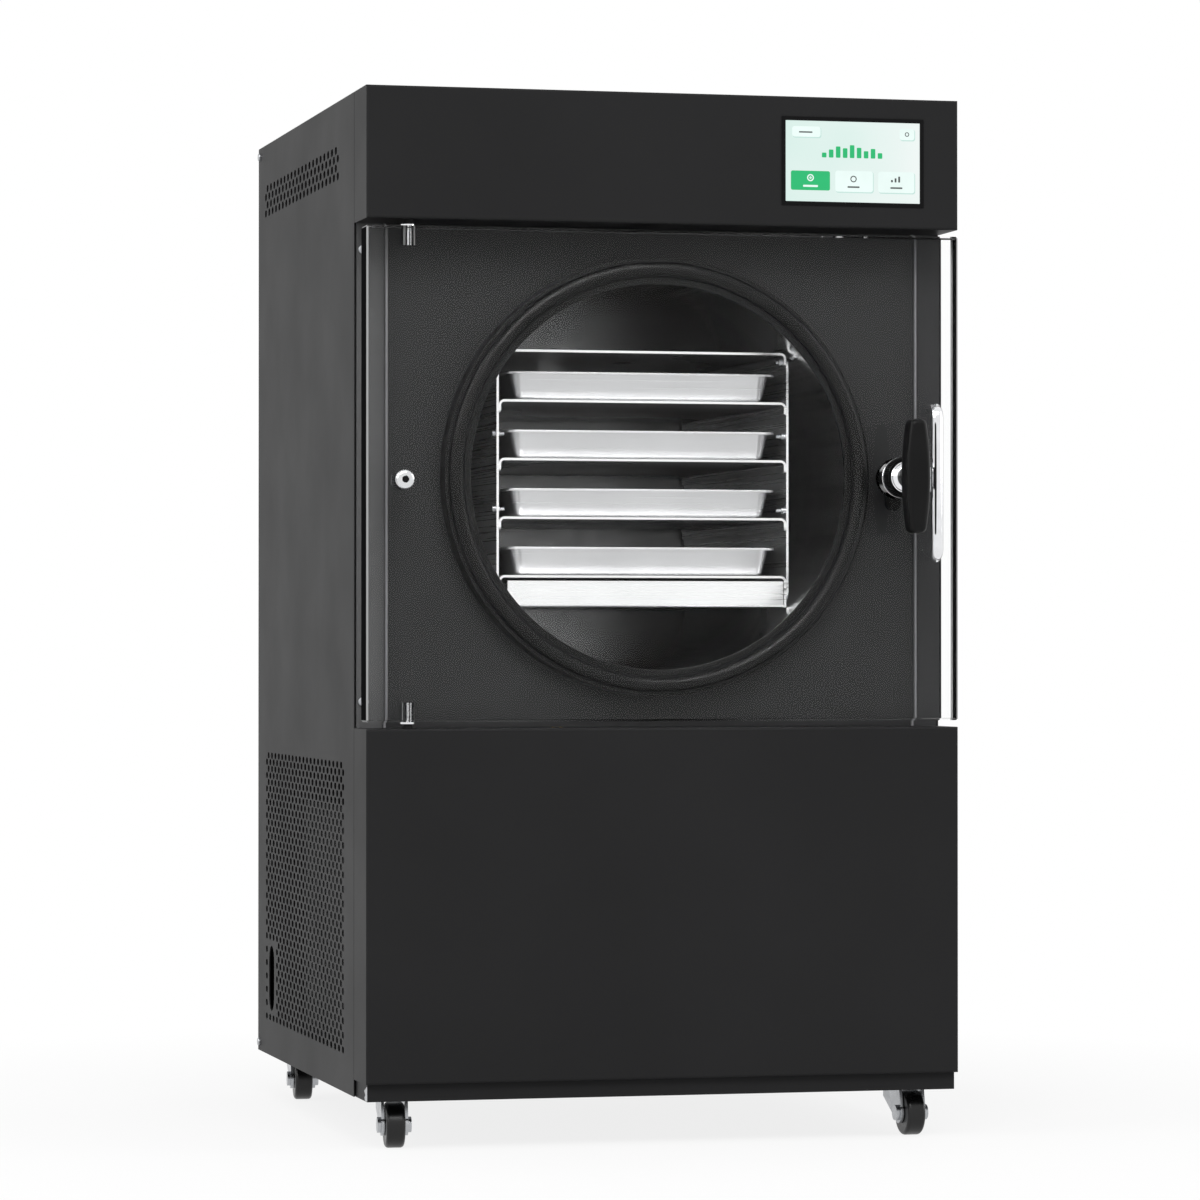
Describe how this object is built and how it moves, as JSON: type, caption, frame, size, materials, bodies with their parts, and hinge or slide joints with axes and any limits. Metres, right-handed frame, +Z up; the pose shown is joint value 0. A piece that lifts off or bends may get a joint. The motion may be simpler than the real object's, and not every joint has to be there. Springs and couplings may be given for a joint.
{
  "type": "freeze dryer",
  "caption": "Upright laboratory freeze dryer on casters with a clear swing door, round vacuum chamber, stainless tray rack and a touch screen.",
  "frame": {"origin": "on the floor, under the centre of the outer box", "axes": "+Z up, -Y towards the door and screen, +X to the right seen from the front"},
  "size_m": [0.514, 0.626, 0.879],
  "materials": {
    "black_sheet": "satin powder coat",
    "plate_paint": "satin powder coat",
    "post_paint": "satin powder coat",
    "clear_acrylic": "polished clear",
    "gasket_rubber": "satin moulded",
    "chamber_steel": "polished",
    "rack_steel": "bright brushed",
    "tray_steel": "bright satin",
    "zinc": "zinc plated",
    "caster_rubber": "matte",
    "chrome": "mirror",
    "black_plastic": "satin",
    "bolt_steel": "bright",
    "bezel_plastic": "gloss",
    "screen": "lit display",
    "circuit_board": "gloss",
    "copper": "drawn tube",
    "foam": "closed-cell foam",
    "compressor_paint": "gloss",
    "fin_aluminium": "black coated",
    "fan_plastic": "matte",
    "motor_metal": "satin",
    "valve_brass": "machined"
  },
  "bodies": {
    "root": {"base_pan": "black_sheet", "cabinet_screws": "zinc", "caster_plates": "zinc", "chamber_front_plate": "plate_paint", "chamber_gasket": "gasket_rubber", "chamber_insulation": "foam", "chamber_shell": "chamber_steel", "compressor": "compressor_paint", "compressor_grommets": "gasket_rubber", "condenser": "fin_aluminium", "control_board": "circuit_board", "cooling_coil": "copper", "display_bezel": "bezel_plastic", "display_screen": "screen", "drain_valve": "valve_brass", "fan_motor": "motor_metal", "fan_shroud": "plate_paint", "front_post_left": "post_paint", "front_post_right": "post_paint", "header_panel": "black_sheet", "hinge_brackets": "black_sheet", "latch_keeper": "zinc", "lower_front_panel": "black_sheet", "power_inlet": "black_plastic", "rack_base": "rack_steel", "rack_screws": "zinc", "rack_shelf_1": "rack_steel", "rack_shelf_2": "rack_steel", "rack_shelf_3": "rack_steel", "rack_shelf_4": "rack_steel", "rack_side_left": "rack_steel", "rack_side_right": "rack_steel", "rack_top_plate": "rack_steel", "rear_panel": "black_sheet", "refrigerant_lines": "copper", "side_panel_left": "black_sheet", "side_panel_right": "black_sheet", "top_panel": "black_sheet", "tray_1": "tray_steel", "tray_2": "tray_steel", "tray_3": "tray_steel", "tray_4": "tray_steel", "vacuum_port": "chamber_steel"},
    "door": {"door_panel": "clear_acrylic", "hinge_bushings": "chrome", "hinge_side_bolt": "bolt_steel", "grab_handle": "chrome", "latch_hub": "black_plastic"},
    "latch": {"latch_spindle": "chrome", "latch_knob": "black_plastic"},
    "drain_handle": {"drain_lever": "black_plastic"},
    "fan": {"fan_rotor": "fan_plastic"},
    "swivel_front_left": {"caster_fork_front_left": "zinc"},
    "roller_front_left": {"caster_wheel_front_left": "caster_rubber"},
    "swivel_front_right": {"caster_fork_front_right": "zinc"},
    "roller_front_right": {"caster_wheel_front_right": "caster_rubber"},
    "swivel_rear_left": {"caster_fork_rear_left": "zinc"},
    "roller_rear_left": {"caster_wheel_rear_left": "caster_rubber"},
    "swivel_rear_right": {"caster_fork_rear_right": "zinc"},
    "roller_rear_right": {"caster_wheel_rear_right": "caster_rubber"}
  },
  "joints": [
    {"name": "door_hinge", "type": "hinge", "parent": "root", "child": "door", "pos_m": [-0.218, -0.2495, 0.55865], "axis": [0, 0, -1], "range_deg": [0, 110]},
    {"name": "latch_turn", "type": "hinge", "parent": "door", "child": "latch", "pos_m": [0.2047, -0.262, 0.55865], "axis": [0, -1, 0], "range_deg": [0, 90]},
    {"name": "drain_handle_turn", "type": "hinge", "parent": "root", "child": "drain_handle", "pos_m": [0, 0.287, 0.34865], "axis": [0, 0, 1], "range_deg": [0, 90]},
    {"name": "fan_spin", "type": "hinge", "parent": "root", "child": "fan", "pos_m": [-0.188, -0.017, 0.1725], "axis": [1, 0, 0], "continuous": true},
    {"name": "swivel_front_left_turn", "type": "hinge", "parent": "root", "child": "swivel_front_left", "pos_m": [-0.223, -0.207, 0.044], "axis": [0, 0, 1], "continuous": true},
    {"name": "roller_front_left_roll", "type": "hinge", "parent": "swivel_front_left", "child": "roller_front_left", "pos_m": [-0.22457, -0.22493, 0.019], "axis": [0.9962, -0.0872, 0], "continuous": true},
    {"name": "swivel_front_right_turn", "type": "hinge", "parent": "root", "child": "swivel_front_right", "pos_m": [0.223, -0.207, 0.044], "axis": [0, 0, 1], "continuous": true},
    {"name": "roller_front_right_roll", "type": "hinge", "parent": "swivel_front_right", "child": "roller_front_right", "pos_m": [0.22363, -0.22499, 0.019], "axis": [0.9994, 0.0349, 0], "continuous": true},
    {"name": "swivel_rear_left_turn", "type": "hinge", "parent": "root", "child": "swivel_rear_left", "pos_m": [-0.223, 0.227, 0.044], "axis": [0, 0, 1], "continuous": true},
    {"name": "roller_rear_left_roll", "type": "hinge", "parent": "swivel_rear_left", "child": "roller_rear_left", "pos_m": [-0.22457, 0.20907, 0.019], "axis": [0.9962, -0.0872, 0], "continuous": true},
    {"name": "swivel_rear_right_turn", "type": "hinge", "parent": "root", "child": "swivel_rear_right", "pos_m": [0.223, 0.227, 0.044], "axis": [0, 0, 1], "continuous": true},
    {"name": "roller_rear_right_roll", "type": "hinge", "parent": "swivel_rear_right", "child": "roller_rear_right", "pos_m": [0.22143, 0.20907, 0.019], "axis": [0.9962, -0.0872, 0], "continuous": true}
  ]
}
